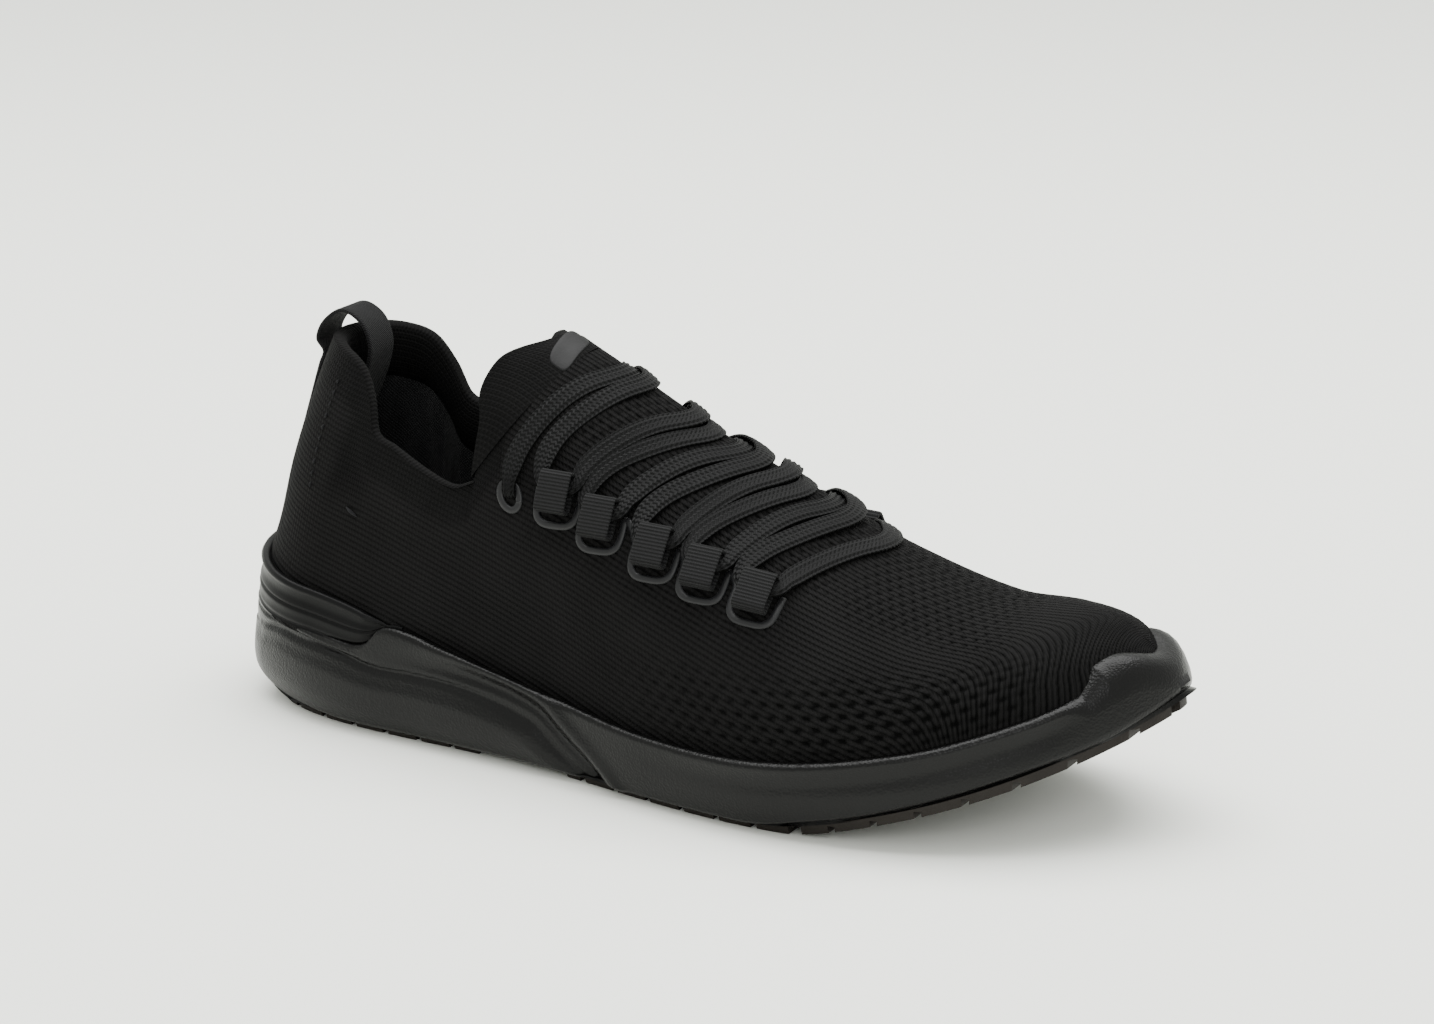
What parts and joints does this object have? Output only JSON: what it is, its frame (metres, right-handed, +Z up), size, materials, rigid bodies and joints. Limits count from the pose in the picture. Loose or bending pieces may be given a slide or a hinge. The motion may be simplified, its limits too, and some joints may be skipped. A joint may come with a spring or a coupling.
{
  "type": "running shoe",
  "caption": "Right running shoe with a one-piece knit bootie upper, lace loops of webbing, a sculpted foam sole and a heel pull tab.",
  "frame": {"origin": "on the ground under the middle of the shoe's bounding box", "axes": "+X towards the toe, +Y towards the medial side, +Z up"},
  "size_m": [0.2988, 0.1056, 0.1217],
  "materials": {
    "knit": "matte knit, ribbed and perforated in zones",
    "midsole_foam": "satin moulded foam with a fine pebble grain",
    "outsole_rubber": "matte moulded rubber",
    "cage_plastic": "satin moulded plastic with ridge lines",
    "eyestay_film": "thin welded film, semi-gloss",
    "loop_webbing": "ribbed grosgrain webbing",
    "lace": "flat braided polyester",
    "aglet": "smooth shrink tip",
    "tape": "woven twill tape",
    "lining": "stretch lining jersey",
    "padding": "foam-backed collar padding",
    "sockliner": "fabric-topped foam",
    "board": "stitched non-woven board",
    "stiffener": "thermoplastic sheet",
    "patch_film": "plain transfer film"
  },
  "bodies": {
    "rearfoot": {"midsole_rear": "midsole_foam", "outsole_heel_lateral": "outsole_rubber", "outsole_heel_medial": "outsole_rubber", "outsole_ball_lateral": "outsole_rubber", "outsole_ball_medial": "outsole_rubber", "strobel_board": "board", "sockliner": "sockliner", "upper_rear": "knit", "upper_crease": "knit", "heel_cage": "cage_plastic", "heel_counter": "stiffener", "collar_padding": "padding", "heel_lining": "lining", "eyestay_lateral": "eyestay_film", "eyestay_medial": "eyestay_film", "lace_loop_lateral_1": "loop_webbing", "lace_loop_lateral_2": "loop_webbing", "lace_loop_lateral_3": "loop_webbing", "lace_loop_lateral_4": "loop_webbing", "lace_loop_lateral_5": "loop_webbing", "lace_loop_medial_1": "loop_webbing", "lace_loop_medial_2": "loop_webbing", "lace_loop_medial_3": "loop_webbing", "lace_loop_medial_4": "loop_webbing", "lace_loop_medial_5": "loop_webbing", "lace": "lace", "aglet_lateral": "aglet", "aglet_medial": "aglet", "pull_tab_outer_leg": "tape", "pull_tab_inner_leg": "tape"},
    "forefoot": {"midsole_forefoot": "midsole_foam", "outsole_toe_lateral": "outsole_rubber", "outsole_toe_medial": "outsole_rubber", "upper_forefoot": "knit", "toe_puff": "stiffener"},
    "tongue": {"tongue_top": "knit", "tongue_patch": "patch_film"},
    "pull_tab": {"pull_tab_loop": "tape"}
  },
  "joints": [
    {"name": "forefoot_flex", "type": "hinge", "parent": "rearfoot", "child": "forefoot", "pos_m": [0.05873, 0, 0.024], "axis": [0, -1, 0], "range_deg": [0, 28], "stiffness_Nm_per_rad": 3, "deforming": ["upper_crease", "sockliner", "strobel_board"]},
    {"name": "tongue_flex", "type": "hinge", "parent": "rearfoot", "child": "tongue", "pos_m": [-0.03577, 0, 0.1164], "axis": [0, 1, 0], "range_deg": [-8, 25], "stiffness_Nm_per_rad": 0.05},
    {"name": "pull_tab_swing", "type": "hinge", "parent": "rearfoot", "child": "pull_tab", "pos_m": [-0.11877, 0, 0.108], "axis": [0, 1, 0], "range_deg": [-12, 12], "stiffness_Nm_per_rad": 0.02}
  ]
}
